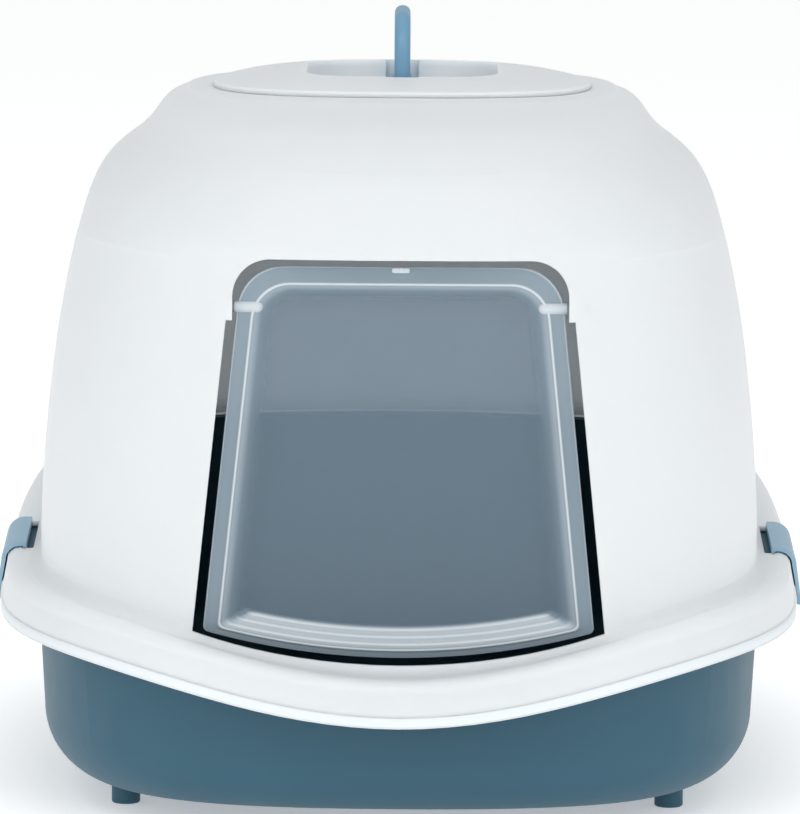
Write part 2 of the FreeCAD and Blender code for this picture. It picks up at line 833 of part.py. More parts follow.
def rounded_block(half_x, half_y, corner, bottom, top):
    inner_x = half_x - corner
    inner_y = half_y - corner
    diagonal = corner * diagonal_share
    edges = []
    for turn in range(len(quarters)):
        reach_x, reach_y = (inner_y, inner_x) if turn % 2 else (inner_x, inner_y)
        spin = FreeCAD.Rotation(Vector(0, 0, 1), 90 * turn)
        first = spin.multVec(Vector(reach_x + corner, reach_y, bottom))
        through = spin.multVec(Vector(reach_x + diagonal, reach_y + diagonal, bottom))
        last = spin.multVec(Vector(reach_x, reach_y + corner, bottom))
        following = spin.multVec(Vector(-reach_x, reach_y + corner, bottom))
        edges += [arc(first, through, last), line_between(last, following)]
    return Part.Face(Part.Wire(edges)).extrude(Vector(0, 0, top - bottom))


crown_block = add_feature("crown_block", filled(cover_skin, skin_bands))
crown_room = add_feature("crown_room", filled(cover_lining, lining_bands))
crown_shell = cut_away("crown_shell", crown_block, crown_room)

# Dish in the cover, with a notch at each end for the handle's hubs
dish_floor = roof - worked_out(dish_depth)
dish_under = dish_floor - cover_wall
dish_x = worked_out(dish_half)
dish_y = worked_out(dish_end)
dish_round = size("dish_round")
notch_x = worked_out(notch_half)
bearing_y = worked_out(bearing_end)
above_cover = lip_top + size("cover_crown") + size("cover_tilt") + overrun

dish_block = rounded_block(
    dish_x + cover_wall, dish_y + cover_wall, dish_round + cover_wall, dish_under, above_cover
)
bearing_block = rounded_block(notch_x + cover_wall, bearing_y, cover_wall, dish_under, above_cover)
dish_blank = add_feature("dish_blank", dish_block.fuse(bearing_block))
under_roof = rounded_block(cover_half, bearing_y, cover_wall, dish_under, roof)
dish_limits = add_feature("dish_limits", under_roof.fuse(crown_block.Shape))
dish_walls = doc.addObject("Part::Common", "dish_walls")
dish_walls.Base = dish_blank
dish_walls.Tool = dish_limits
cover_blank = fuse_all("cover_blank", [crown_shell, dish_walls])
dish_hollow = rounded_block(dish_x, dish_y, dish_round, dish_floor, above_cover)
notch_hollow = rounded_block(notch_x, worked_out(notch_reach), cover_wall, dish_floor, above_cover)
dish_room = add_feature("dish_room", dish_hollow.fuse(notch_hollow))
pin_hole_length = "2 * (%s + sizes.pin_length)" % notch_reach
pin_hole = add_bound("Part::Cylinder", "pin_hole", {
    "Radius": "sizes.pin_radius + sizes.running_fit",
    "Height": pin_hole_length,
    "Placement.Base.y": "-(%s) / 2" % pin_hole_length,
    "Placement.Base.z": "sizes.roof_height - sizes.pivot_drop",
})
pin_hole.Placement.Rotation = FreeCAD.Rotation(Vector(0, 0, 1), Vector(0, 1, 0))
cover_cutting = fuse_all("cover_cutting", [dish_room, pin_hole])
top_cover = cut_away("top_cover", cover_blank, cover_cutting)

# Carry handle: a flat bail with rounded edges, a hub and a pin at the foot of each leg
pivot_z = roof - size("pivot_drop")
bail_top = pivot_z + size("bail_height")
bail_half = size("bail_length") / 2
section = size("bail_section")
corner = size("bail_corner")


def bail_side(half_span, top, radius):
    centre = Vector(half_span - radius, top - radius, 0)
    diagonal = Vector(diagonal_share, diagonal_share, 0) * radius
    return [
        Vector(half_span, pivot_z, 0),
        centre + Vector(radius, 0, 0),
        centre + diagonal,
        centre + Vector(0, radius, 0),
    ]


carry_handle = doc.addObject("PartDesign::Body", "carry_handle")
bail_outline = sketch_on(carry_handle, "bail_outline", "YZ_Plane")
outer = bail_side(bail_half, bail_top, corner)
inner = bail_side(bail_half - section, bail_top - section, corner - section)
bail_geometry = []
for crest in (outer[3], inner[3]):
    bail_geometry.append(Part.LineSegment(crest, mirrored(crest)))
for flip in (Vector, mirrored):
    for points in (outer, inner):
        foot, bend, through, crest = [flip(point) for point in points]
        bail_geometry += [Part.LineSegment(foot, bend), Part.Arc(bend, through, crest)]
    bail_geometry.append(Part.LineSegment(flip(outer[0]), flip(inner[0])))
bail_outline.addGeometry(bail_geometry, False)
bail = add_pad(carry_handle, "bail", bail_outline, "sizes.bail_section", True)


def is_bail_edge(edge):
    return edge.BoundBox.XLength < section / 2 and edge.BoundBox.ZMax > pivot_z + section / 2


add_fillet(carry_handle, "bail_edges", bail, is_bail_edge, "sizes.bail_edge")
for end, name in ((-1, "front"), (1, "rear")):
    for piece, radius, start, length in (
        ("hub", "hub_radius", bail_half - section, "sizes.bail_section + sizes.hub_length"),
        ("pin", "pin_radius", bail_half, "sizes.hub_length + sizes.pin_length"),
    ):
        circle = sketch_on(carry_handle, "%s_%s_circle" % (piece, name), "XZ_Plane")
        add_circle(circle, Vector(0, pivot_z, 0), size(radius), "sizes." + radius)
        circle.AttachmentOffset = FreeCAD.Placement(Vector(0, 0, -end * start), FreeCAD.Rotation())
        round_piece = add_pad(carry_handle, "%s_%s" % (piece, name), circle, length, False)
        round_piece.Reversed = end > 0
        doc.recompute()

# Latches: a clip that lies on the ledge, wraps round the brim and ends in a barb under its edge
gap = size("latch_gap")
thick = size("latch_thickness")
bar = size("bar_radius")
bar_inset = size("bar_inset")
draft = size("skirt_draft")
round_inset = draft + size("brim_radius")
skirt_top = size("skirt_height")


def latch_geometry(side):
    def spot(inset, rise):
        return Vector(-side * inset, rise, 0)

    def round_edge(reach):
        diagonal = reach * diagonal_share
        return (
            spot(round_inset - reach, skirt_top),
            spot(round_inset - diagonal, skirt_top + diagonal),
            spot(round_inset, skirt_top + reach),
        )

    outer_edge = round_edge(size("brim_radius") + gap + thick)
    inner_edge = round_edge(size("brim_radius") + gap)
    under = ledge_height + gap
    tail = -size("latch_tail")
    barb_top = -gap
    barb_bottom = barb_top - size("barb_height")
    barb_tip = spot(size("barb_length") - gap, (barb_top + barb_bottom) / 2)
    corners = [
        outer_edge[0],
        spot(-gap - thick, tail),
        spot(-gap, tail),
        spot(-gap, barb_bottom),
        barb_tip,
        spot(-gap, barb_top),
        inner_edge[0],
    ]
    root = [
        inner_edge[2],
        spot(bar_inset - bar, under),
        spot(bar_inset - bar, bar_rise),
        spot(bar_inset + bar, bar_rise),
        spot(bar_inset + bar, under + thick),
        outer_edge[2],
    ]
    geometry = [Part.Arc(*outer_edge), Part.Arc(*inner_edge)]
    for points in (corners, root):
        geometry += [Part.LineSegment(first, last) for first, last in zip(points, points[1:])]
    return geometry, spot(bar_inset, bar_rise)


latches = []
for side, name in side_names.items():
    latch = doc.addObject("PartDesign::Body", "latch_" + name)
    profile = sketch_on(latch, "latch_profile_" + name, "XZ_Plane")
    geometry, bar_spot = latch_geometry(side)
    profile.addGeometry(geometry, False)
    add_pad(latch, "latch_clip_" + name, profile, "sizes.latch_length", True)
    bar_circle = sketch_on(latch, "latch_bar_circle_" + name, "XZ_Plane")
    add_circle(bar_circle, bar_spot, bar, "sizes.bar_radius")
    add_pad(latch, "latch_bar_" + name, bar_circle, "sizes.bar_length", True)
    latch.Placement = latch_placement(side, 0, 0, 0)
    latches.append(latch)

# Carbon filter pad on the floor of the well
filter_x = worked_out(well_half) - size("filter_gap")
filter_y = worked_out(well_end) - size("filter_gap")
filter_bottom = worked_out(well_floor)
filter_top = filter_bottom + size("filter_thickness")
filter_pad = rounded_block(filter_x, filter_y, size("filter_corner"), filter_bottom, filter_top)
carbon_filter = add_feature("carbon_filter", filter_pad)

# Check every object, then write each piece
doc.recompute()
pieces = [tray, hood, top_cover, carry_handle, door_flap, carbon_filter] + latches + feet
for item in doc.Objects:
    if "Invalid" in item.State or "Error" in item.State:
        raise RuntimeError("failed object: " + item.Name)
for piece in pieces:
    if piece.Shape.isNull() or not piece.Shape.isValid():
        raise RuntimeError("bad shape: " + piece.Label)

os.makedirs("parts", exist_ok=True)
for piece in pieces:
    piece.Shape.exportStep("parts/%s.step" % piece.Label)
    print(piece.Label, len(piece.Shape.Solids), round(piece.Shape.Volume))
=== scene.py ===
import json
import math

import bmesh
import bpy
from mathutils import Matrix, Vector


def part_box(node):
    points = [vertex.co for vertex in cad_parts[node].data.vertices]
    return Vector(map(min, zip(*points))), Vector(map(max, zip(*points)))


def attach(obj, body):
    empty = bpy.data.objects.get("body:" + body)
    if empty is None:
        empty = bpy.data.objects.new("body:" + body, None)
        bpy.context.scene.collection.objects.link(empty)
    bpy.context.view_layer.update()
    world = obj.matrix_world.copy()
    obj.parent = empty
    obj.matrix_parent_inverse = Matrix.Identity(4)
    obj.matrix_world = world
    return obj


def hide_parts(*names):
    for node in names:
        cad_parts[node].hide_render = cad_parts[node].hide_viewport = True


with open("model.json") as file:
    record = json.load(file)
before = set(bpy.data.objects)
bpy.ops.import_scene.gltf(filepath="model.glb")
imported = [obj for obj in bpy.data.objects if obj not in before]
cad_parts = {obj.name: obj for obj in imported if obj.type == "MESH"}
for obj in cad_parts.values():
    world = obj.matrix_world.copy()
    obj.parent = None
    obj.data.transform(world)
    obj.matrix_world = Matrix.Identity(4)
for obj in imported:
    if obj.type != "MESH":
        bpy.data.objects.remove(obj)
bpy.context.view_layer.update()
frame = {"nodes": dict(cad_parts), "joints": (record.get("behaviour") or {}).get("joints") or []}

nodes = frame["nodes"]
joints = {joint["name"]: joint for joint in frame["joints"]}
scene = bpy.context.scene
print("frame loaded:", len(nodes), "solids")


# small helpers

def addMesh(name, verts, faces, material):
    mesh = bpy.data.meshes.new(name)
    mesh.from_pydata(verts, [], faces)
    mesh.update()
    for poly in mesh.polygons:
        poly.use_smooth = True
    mesh.materials.append(material)
    piece = bpy.data.objects.new(name, mesh)
    scene.collection.objects.link(piece)
    return piece


def addRows(verts, faces, rows, closed=False):
    # rows are rings of the same length, skinned one to the next
    start = len(verts)
    count = len(rows[0])
    for row in rows:
        verts.extend(row)
    last = len(rows) if closed else len(rows) - 1
    for j in range(last):
        low = start + j * count
        high = start + ((j + 1) % len(rows)) * count
        for i in range(count):
            k = (i + 1) % count
            faces.append((low + i, low + k, high + k, high + i))
    return start


def capEnds(verts, faces, start, count):
    # one flat face on the first ring and one on the last
    faces.append(tuple(range(start + count - 1, start - 1, -1)))
    faces.append(tuple(range(len(verts) - count, len(verts))))


def outwardFaces(piece):
    work = bmesh.new()
    work.from_mesh(piece.data)
    bmesh.ops.recalc_face_normals(work, faces=work.faces)
    work.to_mesh(piece.data)
    work.free()


def turnSteps(count):
    # cosine and sine of each step of a full turn
    angles = [2 * math.pi * k / count for k in range(count)]
    return [(math.cos(angle), math.sin(angle)) for angle in angles]


def squared(value, power):
    # bulges a circle towards a rounded square
    return math.copysign(abs(value) ** power, value)


def ease(value):
    value = min(1.0, max(0.0, value))
    return value * value * (3 - 2 * value)


# finishes

cloudDetail, wipeDetail, grainDetail = 3, 4, 2
tintBand = (0.35, 0.65)  # part of the noise over which the colour turns into its shade


def startMaterial(name):
    material = bpy.data.materials.new(name)
    material.use_nodes = True
    tree = material.node_tree
    return material, tree, tree.nodes["Principled BSDF"]


def addNoise(tree, scale, detail):
    place = tree.nodes.new("ShaderNodeTexCoord")
    noise = tree.nodes.new("ShaderNodeTexNoise")
    noise.inputs["Scale"].default_value = scale
    noise.inputs["Detail"].default_value = detail
    tree.links.new(place.outputs["Object"], noise.inputs["Vector"])
    return noise


def addTint(tree, shader, look):
    noise = addNoise(tree, look["cloud"], cloudDetail)
    ramp = tree.nodes.new("ShaderNodeValToRGB")
    ends = ramp.color_ramp.elements
    for end, place, colour in zip(ends, tintBand, (look["colour"], look["shade"])):
        end.position = place
        end.color = (*colour, 1)
    tree.links.new(noise.outputs["Fac"], ramp.inputs["Fac"])
    tree.links.new(ramp.outputs["Color"], shader.inputs["Base Color"])


def addRoughness(tree, shader, look):
    noise = addNoise(tree, look["wipe"], wipeDetail)
    low, high = look["rough"]
    spread = tree.nodes.new("ShaderNodeMapRange")
    spread.inputs["To Min"].default_value = low
    spread.inputs["To Max"].default_value = high
    tree.links.new(noise.outputs["Fac"], spread.inputs["Value"])
    tree.links.new(spread.outputs["Result"], shader.inputs["Roughness"])


def addGrain(tree, shader, look):
    grain = addNoise(tree, look["grain"], grainDetail)
    bump = tree.nodes.new("ShaderNodeBump")
    bump.inputs["Strength"].default_value = look["grainStrength"]
    bump.inputs["Distance"].default_value = look["grainDepth"]
    tree.links.new(grain.outputs["Fac"], bump.inputs["Height"])
    tree.links.new(bump.outputs["Normal"], shader.inputs["Normal"])


def mouldedPlastic(name, look):
    material, tree, shader = startMaterial(name)
    addTint(tree, shader, look)
    addRoughness(tree, shader, look)
    addGrain(tree, shader, look)
    shader.inputs["Specular IOR Level"].default_value = look["specular"]
    shader.inputs["Subsurface Weight"].default_value = look.get("glow", 0.0)
    shader.inputs["Subsurface Scale"].default_value = look.get("glowDepth", 0.001)
    shader.inputs["Subsurface Radius"].default_value = (1, 1, 1)
    shader.inputs["Sheen Weight"].default_value = look.get("sheen", 0.0)
    return material


def smokyPlastic(name, look):
    # clear in the panel, milky where the moulding bends, with painted highlights on the bead and tread
    # edges and painted reflection on the sloped wall: the mesh says where
    material, tree, shader = startMaterial(name)
    frostAndHighlight = tree.nodes.new("ShaderNodeAttribute")
    frostAndHighlight.attribute_name = "frostAndHighlight"
    ramp = tree.nodes.new("ShaderNodeValToRGB")
    ramp.color_ramp.elements[0].color = (*look["clear"], 1)
    ramp.color_ramp.elements[1].color = (*look["bright"], 1)
    ramp.color_ramp.elements.new(look["frostedAt"]).color = (*look["frosted"], 1)
    tree.links.new(frostAndHighlight.outputs["Fac"], ramp.inputs["Fac"])
    tree.links.new(ramp.outputs["Color"], shader.inputs["Base Color"])
    cover = tree.nodes.new("ShaderNodeMapRange")
    cover.inputs["From Max"].default_value = look["denseAt"]
    cover.inputs["To Min"].default_value = look["alpha"][0]
    cover.inputs["To Max"].default_value = look["alpha"][1]
    tree.links.new(frostAndHighlight.outputs["Fac"], cover.inputs["Value"])
    tree.links.new(cover.outputs["Result"], shader.inputs["Alpha"])
    addRoughness(tree, shader, look)
    addGrain(tree, shader, look)
    shader.inputs["Specular IOR Level"].default_value = look["specular"]
    return material


hoodLook = {
    "colour": (0.80, 0.845, 0.87),
    "shade": (0.785, 0.835, 0.865),
    "cloud": 9.0,
    "wipe": 30.0,
    "rough": (0.40, 0.52),
    "grain": 1400.0,
    "grainStrength": 0.12,
    "grainDepth": 0.0002,
    "specular": 0.42,
    "glow": 1.0,  # light that comes through the thin wall
    "glowDepth": 0.0058,
}
lipLook = dict(hoodLook, glow=0.0)
trayLook = {
    "colour": (0.036, 0.115, 0.168),
    "shade": (0.033, 0.108, 0.160),
    "cloud": 12.0,
    "wipe": 34.0,
    "rough": (0.42, 0.55),
    "grain": 1500.0,
    "grainStrength": 0.2,
    "grainDepth": 0.0002,
    "specular": 0.35,
}
trimLook = {
    "colour": (0.150, 0.325, 0.480),
    "shade": (0.140, 0.305, 0.455),
    "cloud": 40.0,
    "wipe": 60.0,
    "rough": (0.36, 0.46),
    "grain": 1800.0,
    "grainStrength": 0.12,
    "grainDepth": 0.0002,
    "specular": 0.5,
}
# lighter copy of the trim's blue: painted sheen standing for light on the latches' upward tops
latchLitLook = dict(
    trimLook,
    colour=(0.285, 0.450, 0.570),
    shade=(0.270, 0.430, 0.550),
    rough=(0.30, 0.42),
)
flapLook = {
    "clear": (0.232, 0.315, 0.395),
    "frosted": (0.270, 0.355, 0.420),
    "frostedAt": 0.5,
    "bright": (0.88, 0.93, 0.97),
    "alpha": (0.38, 0.85),  # for each of the two faces of the sheet
    "denseAt": 0.7,  # frost from which the sheet is as dense as it gets
    "wipe": 50.0,
    "rough": (0.20, 0.30),
    "grain": 260.0,
    "grainStrength": 0.02,
    "grainDepth": 0.0002,
    "specular": 0.15,
}
feltLook = {
    "colour": (0.020, 0.020, 0.022),
    "shade": (0.045, 0.045, 0.048),
    "cloud": 700.0,
    "wipe": 300.0,
    "rough": (0.9, 1.0),
    "grain": 2200.0,
    "grainStrength": 0.9,
    "grainDepth": 0.0006,
    "specular": 0.15,
    "sheen": 0.5,
}

hoodPlastic = mouldedPlastic("hoodPlastic", hoodLook)
lipPlastic = mouldedPlastic("lipPlastic", lipLook)
trayPlastic = mouldedPlastic("trayPlastic", trayLook)
trimPlastic = mouldedPlastic("trimPlastic", trimLook)
latchLitPlastic = mouldedPlastic("latchLitPlastic", latchLitLook)
flapPlastic = smokyPlastic("flapPlastic", flapLook)
filterFelt = mouldedPlastic("filterFelt", feltLook)

finishOf = {
    "hood": hoodPlastic,
    "top_cover": hoodPlastic,
    "carry_handle": trimPlastic,
    "latch_left": latchLitPlastic,
    "latch_right": latchLitPlastic,
    "door_flap": flapPlastic,
    "carbon_filter": filterFelt,
}
for name, node in nodes.items():
    node.data.materials.clear()
    node.data.materials.append(finishOf.get(name, trayPlastic))  # the tray and its feet
print("finishes on", len(nodes), "solids")


# door flap: one thin moulding with flange, bead, sloped wall, stepped foot and sunk panel

hinge = Vector(joints["door_swing"]["pos_m"])
flap = {
    # the door opening that it hangs in
    "sillHalf": 0.0978,
    "sillHeight": 0.0848,
    "sillSag": 0.014,
    "stepHalf": 0.0825,
    "stepHeight": 0.247,
    "doorTop": 0.276,
    "gapSide": 0.0047,
    "gapTop": 0.0035,
    "gapSill": 0.0008,
    # the sheet; three widths stand for the sides, the top and the foot
    "forward": 0.004,  # from the hinge to the flange's face
    "sheet": 0.0016,
    "sheetBend": 0.0008,
    "corner": 0.0225,
    "cornerShare": 0.6,  # how fast the top corners tighten inward
    "footCorner": 0.003,
    "edgeRound": ((0.0001, 0.0004), (0.0004, 0.0001), (0.0009, 0.0), (0.002, 0.0)),  # inset, depth
    "flange": (0.0066, 0.0076, 0.0030),
    "beadWidth": 0.0016,
    "beadHeight": 0.0008,
    "beadShares": ((0.0, 0.0), (0.2, 0.6), (0.5, 1.0), (0.8, 0.6), (1.0, 0.0)),
    "slope": (0.0120, 0.0088, 0.0092),
    "slopeSteps": 36,
    "slopePower": 0.8,
    "recess": 0.009,
    "treads": 3,
    "riser": 0.5,  # share of each tread that falls
    # frost and painted highlight: 0 is clear, 1 is white
    "edgeFrost": 0.75,
    "edgeWidth": 0.0005,
    "flangeFrost": 0.53,
    "beadFrostAndHighlight": (0.55, 0.37),  # frost at the bead's foot, and the painted highlight its top adds
    "wallFrostAndReflection": (0.60, 1.08, 0.08),  # frost and painted reflection at the bead, how fast it clears, where it starts to
    "treadFrostAndHighlight": (0.74, 0.26),  # frost on a tread, and the painted highlight its edge adds
    "treadHighlight": (0.62, 0.16),  # where the painted highlight lies on a tread, and how wide it is
    "panelFade": (0.5, 0.93, 0.07),  # how much, from where and how far the last tread clears
    "backFrost": 0.5,
    "backShare": 0.6,
    # stubs in the bearing blocks, and bosses that carry them
    "stubRadius": 0.003,
    "stubInner": 0.065,
    "stubOuter": 0.0899,
    "stubFrost": 0.8,
    "bossRadius": 0.0029,
    "bossOuter": 0.0785,
    "bossBehind": 0.0014,
    "bossFrost": 0.85,
}
flapFront = hinge.y - flap["forward"]
sillRadius = (flap["sillHalf"] ** 2 + flap["sillSag"] ** 2) / (2 * flap["sillSag"])
sillCentre = Vector((0, flap["sillHeight"] + sillRadius))
sillCorner = Vector((flap["sillHalf"], flap["sillHeight"] + flap["sillSag"]))
stepCorner = Vector((flap["stepHalf"], flap["stepHeight"]))
sideLine = (stepCorner - sillCorner).normalized()
sideInward = Vector((-sideLine.y, sideLine.x))

arcSteps, footSteps, sideSteps, cornerSteps, topSteps = 30, 6, 36, 12, 20
halfCount = arcSteps + footSteps + sideSteps + cornerSteps + topSteps
almostOne = 0.9999  # keeps the end of the slope on the last tread


def arcPoints(centre, first, last, steps):
    start = math.atan2(first.y - centre.y, first.x - centre.x)
    sweep = math.atan2(last.y - centre.y, last.x - centre.x) - start
    sweep = (sweep + math.pi) % (2 * math.pi) - math.pi
    radius = (first - centre).length
    angles = [start + sweep * step / steps for step in range(steps)]
    return [centre + radius * Vector((math.cos(a), math.sin(a))) for a in angles]


def linePoints(first, last, steps):
    return [first.lerp(last, step / steps) for step in range(steps)]


def flapLoop(insets):
    # half outline from the middle of the foot to the middle of the top, then its mirror
    sideInset, topInset, footInset = insets
    topCorner = flap["corner"] - flap["cornerShare"] * sideInset
    footCorner = flap["footCorner"]
    top = flap["doorTop"] - flap["gapTop"] - topInset
    reach = sillRadius - flap["gapSill"] - footInset
    onSide = sillCorner + sideInward * (flap["gapSide"] + sideInset)
    topLine = onSide + sideInward * topCorner
    topCentre = topLine + sideLine * ((top - topCorner - topLine.y) / sideLine.y)
    # the foot's corner touches the side line and the arc of the sill from inside
    footLine = onSide + sideInward * footCorner
    toLine = footLine - sillCentre
    nearest = toLine.dot(sideLine)
    spare = toLine.dot(toLine) - (reach - footCorner) ** 2
    footCentre = footLine - sideLine * (nearest + math.sqrt(nearest ** 2 - spare))
    footRay = (footCentre - sillCentre).normalized()
    bottom = sillCentre - Vector((0, reach))
    footOnArc = sillCentre + footRay * reach
    footOnSide = footCentre - sideInward * footCorner
    topOnSide = topCentre - sideInward * topCorner
    topOnEdge = topCentre + Vector((0, topCorner))
    half = arcPoints(sillCentre, bottom, footOnArc, arcSteps)
    half += arcPoints(footCentre, footOnArc, footOnSide, footSteps)
    half += linePoints(footOnSide, topOnSide, sideSteps)
    half += arcPoints(topCentre, topOnSide, topOnEdge, cornerSteps)
    half += linePoints(topOnEdge, Vector((0, top)), topSteps) + [Vector((0, top))]
    return half + [Vector((-p.x, p.y)) for p in half[-2:0:-1]]


def footShare(k):
    # 1 along the stepped foot, 0 from the sides upward
    fromMiddle = k if k <= halfCount else 2 * halfCount - k
    return min(1.0, max(0.0, 1 - (fromMiddle - arcSteps + 1) / footSteps))


def treadPlace(u):
    # number of the tread, and how far along it
    place = flap["treads"] * min(u, almostOne)
    return math.floor(place), place - math.floor(place)


def slopeDepth(u, k):
    tread, within = treadPlace(u)
    smooth = ease(u) ** flap["slopePower"]
    fall = ease((within - (1 - flap["riser"])) / flap["riser"])
    stepped = (tread + fall) / flap["treads"]
    return flap["recess"] * (smooth + (stepped - smooth) * footShare(k))


def slopeFrostAndHighlight(u, k):
    within = treadPlace(u)[1]
    wall, clearing, start = flap["wallFrostAndReflection"]
    tread, highlightGain = flap["treadFrostAndHighlight"]
    edge, width = flap["treadHighlight"]
    fade, fadeFrom, fadeLength = flap["panelFade"]
    # the wall is milky near the bead and lighter still by painted reflection of side light
    smooth = wall * (1 - ease(clearing * u - start))
    # painted highlight along each tread's edge
    paintedHighlight = math.exp(-((within - edge) / width) ** 2)
    stepped = (tread + highlightGain * paintedHighlight) * (1 - fade * ease((u - fadeFrom) / fadeLength))
    return smooth + (stepped - smooth) * footShare(k)


def flapRow(insets, depths):
    return [(p.x, flapFront + depth, p.y) for p, depth in zip(flapLoop(insets), depths)]


def setFrostAndHighlight(piece, values):
    piece.data.attributes.new("frostAndHighlight", "FLOAT", "POINT").data.foreach_set("value", values)


def makeFlap():
    sheet, bend = flap["sheet"], flap["sheetBend"]
    count = 2 * halfCount
    slopes = [(step + 1) / flap["slopeSteps"] for step in range(flap["slopeSteps"])]
    slopeStart = [wide + flap["beadWidth"] for wide in flap["flange"]]
    rows, frostAndHighlight = [], []
    backRows, backFrost = [], []
    # rounded edge and flange
    for inset, depth in ((0.0, sheet / 2), *flap["edgeRound"]):
        rows.append(flapRow([inset] * 3, [depth] * count))
        frostAndHighlight.append([flap["edgeFrost"] if inset < flap["edgeWidth"] else flap["flangeFrost"]] * count)
    for inset, depth in flap["edgeRound"]:
        backRows.append(flapRow([inset] * 3, [sheet - depth] * count))
        backFrost.append([flap["backFrost"]] * count)
    # bead on the front face only
    beadFoot, beadHighlight = flap["beadFrostAndHighlight"]
    for across, rise in flap["beadShares"]:
        insets = [wide + flap["beadWidth"] * across for wide in flap["flange"]]
        rows.append(flapRow(insets, [-flap["beadHeight"] * rise] * count))
        # the bead's top is lighter by a painted highlight
        frostAndHighlight.append([beadFoot + beadHighlight * rise] * count)
    # sloped wall with the steps at its foot
    for u in slopes:
        insets = [start + run * u for start, run in zip(slopeStart, flap["slope"])]
        backInsets = [inset - bend for inset in insets]
        depths = [slopeDepth(u, k) for k in range(count)]
        milkAndHighlight = [slopeFrostAndHighlight(u, k) for k in range(count)]
        rows.append(flapRow(insets, depths))
        frostAndHighlight.append(milkAndHighlight)
        backRows.append(flapRow(backInsets, [sheet + depth for depth in depths]))
        backFrost.append([flap["backShare"] * value for value in milkAndHighlight])
    # clear panel
    flat = [start + run + bend for start, run in zip(slopeStart, flap["slope"])]
    rows.append(flapRow(flat, [flap["recess"]] * count))
    frostAndHighlight.append([0.0] * count)
    backRows.append(flapRow(flat, [flap["recess"] + sheet] * count))
    backFrost.append([0.0] * count)
    verts, faces = [], []
    start = addRows(verts, faces, backRows[::-1] + rows)
    capEnds(verts, faces, start, count)
    piece = addMesh("doorPanel", verts, faces, flapPlastic)
    for face in piece.data.polygons[-2:]:
        face.use_smooth = False
    outwardFaces(piece)
    setFrostAndHighlight(piece, [value for row in backFrost[::-1] + frostAndHighlight for value in row])
    return piece


roundBar = {"around": 24, "domeSteps": 6, "tipShare": 0.02}


def capsule(name, axisY, axisZ, xInner, xOuter, radius, material):
    # round bar along X with a domed inner end
    side = 1 if xOuter > 0 else -1
    stations = [(xOuter, radius)]
    for step in range(roundBar["domeSteps"] + 1):
        angle = math.pi / 2 * step / roundBar["domeSteps"]
        x = xInner + side * radius * (1 - math.sin(angle))
        stations.append((x, radius * max(roundBar["tipShare"], math.cos(angle))))
    circle = turnSteps(roundBar["around"])
    rings = [[(x, axisY + r * c, axisZ + r * s) for c, s in circle] for x, r in stations]
    verts, faces = [], []
    start = addRows(verts, faces, rings)
    capEnds(verts, faces, start, roundBar["around"])
    piece = addMesh(name, verts, faces, material)
    outwardFaces(piece)
    return piece


tab = {
    "below": 0.0003,  # from the flange's top edge
    "plate": (0.0043, 0.0027, 0.0, 0.0011),  # half width, lower edge, upper edge, proud of the flange
    "nub": (0.0008, 0.0011, -0.0002, 0.0017),
    "sunk": 0.0006,
    "round": 0.0004,
    "square": 0.35,
    "around": 24,
    "frostAndHighlight": 0.9,
}


def makeTab():
    # small pull tab at the top of the flange, with a nub on it
    verts, faces = [], []
    base = flap["doorTop"] - flap["gapTop"] - tab["below"]
    soft = tab["round"]
    for half, low, high, proud in (tab["plate"], tab["nub"]):
        rings = []
        for shrink, depth in ((0, tab["sunk"]), (0, soft - proud), (soft, -proud), (2 * soft, -proud)):
            ring = []
            for c, s in turnSteps(tab["around"]):
                x = squared(c, tab["square"]) * (half - shrink)
                z = squared(s, tab["square"]) * ((low - high) / 2 - shrink)
                ring.append((x, flapFront + depth, base - (low + high) / 2 + z))
            rings.append(ring)
        start = addRows(verts, faces, rings)
        capEnds(verts, faces, start, tab["around"])
    piece = addMesh("pullTab", verts, faces, flapPlastic)
    outwardFaces(piece)
    return piece


doorPanel = makeFlap()
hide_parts("door_flap")
flapPieces = [doorPanel]
bossY = flapFront + flap["bossBehind"]
for side, word in ((-1, "Left"), (1, "Right")):
    inner = side * flap["stubInner"]
    stubEnd = side * flap["stubOuter"]
    bossEnd = side * flap["bossOuter"]
    stub = capsule("hingeStub" + word, hinge.y, hinge.z, inner, stubEnd, flap["stubRadius"], flapPlastic)
    setFrostAndHighlight(stub, [flap["stubFrost"]] * len(stub.data.vertices))
    boss = capsule("stubBoss" + word, bossY, hinge.z, inner, bossEnd, flap["bossRadius"], flapPlastic)
    setFrostAndHighlight(boss, [flap["bossFrost"]] * len(boss.data.vertices))
    flapPieces += [stub, boss]
pullTab = makeTab()
setFrostAndHighlight(pullTab, [tab["frostAndHighlight"]] * len(pullTab.data.vertices))
flapPieces.append(pullTab)
for piece in flapPieces:
    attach(piece, "flap")
print("door flap:", len(doorPanel.data.polygons), "faces")


# rolled lip along the lower edge of the hood's brim

brim = {
    "halfWidth": 0.2,
    "halfLength": 0.28,
    "middle": -0.04,  # where the brim is widest
    "shares": (0.49, 0.925, 0.825, 0.64),  # handles of each quarter's curve
    "seamFront": 0.059,
    "seamSide": 0.088,
    "seamRear": 0.126,
    "turnAhead": 0.08,  # where the seam starts to climb, and how softly
    "turnLength": 0.04,
    "levelBehind": 0.175,  # where it levels out again
    "levelLength": 0.06,
    "section": (  # inset and rise from the seam
        (0.0015, 0.0003), (0.0003, 0.0002), (0.0001, 0.0008), (0.0001, 0.0036),
        (0.0003, 0.0041), (0.0006, 0.0046), (0.0013, 0.0053), (0.0020, 0.0028),
    ),
    "steps": 40,
}


def seamHeight(y):
    slope = (brim["seamRear"] - brim["seamSide"]) / (brim["turnAhead"] + brim["levelBehind"])
    climb = math.hypot(y + brim["turnAhead"], brim["turnLength"]) + brim["turnAhead"]
    climb -= math.hypot(y - brim["levelBehind"], brim["levelLength"]) - brim["levelBehind"]
    return brim["seamSide"] + slope * climb / 2


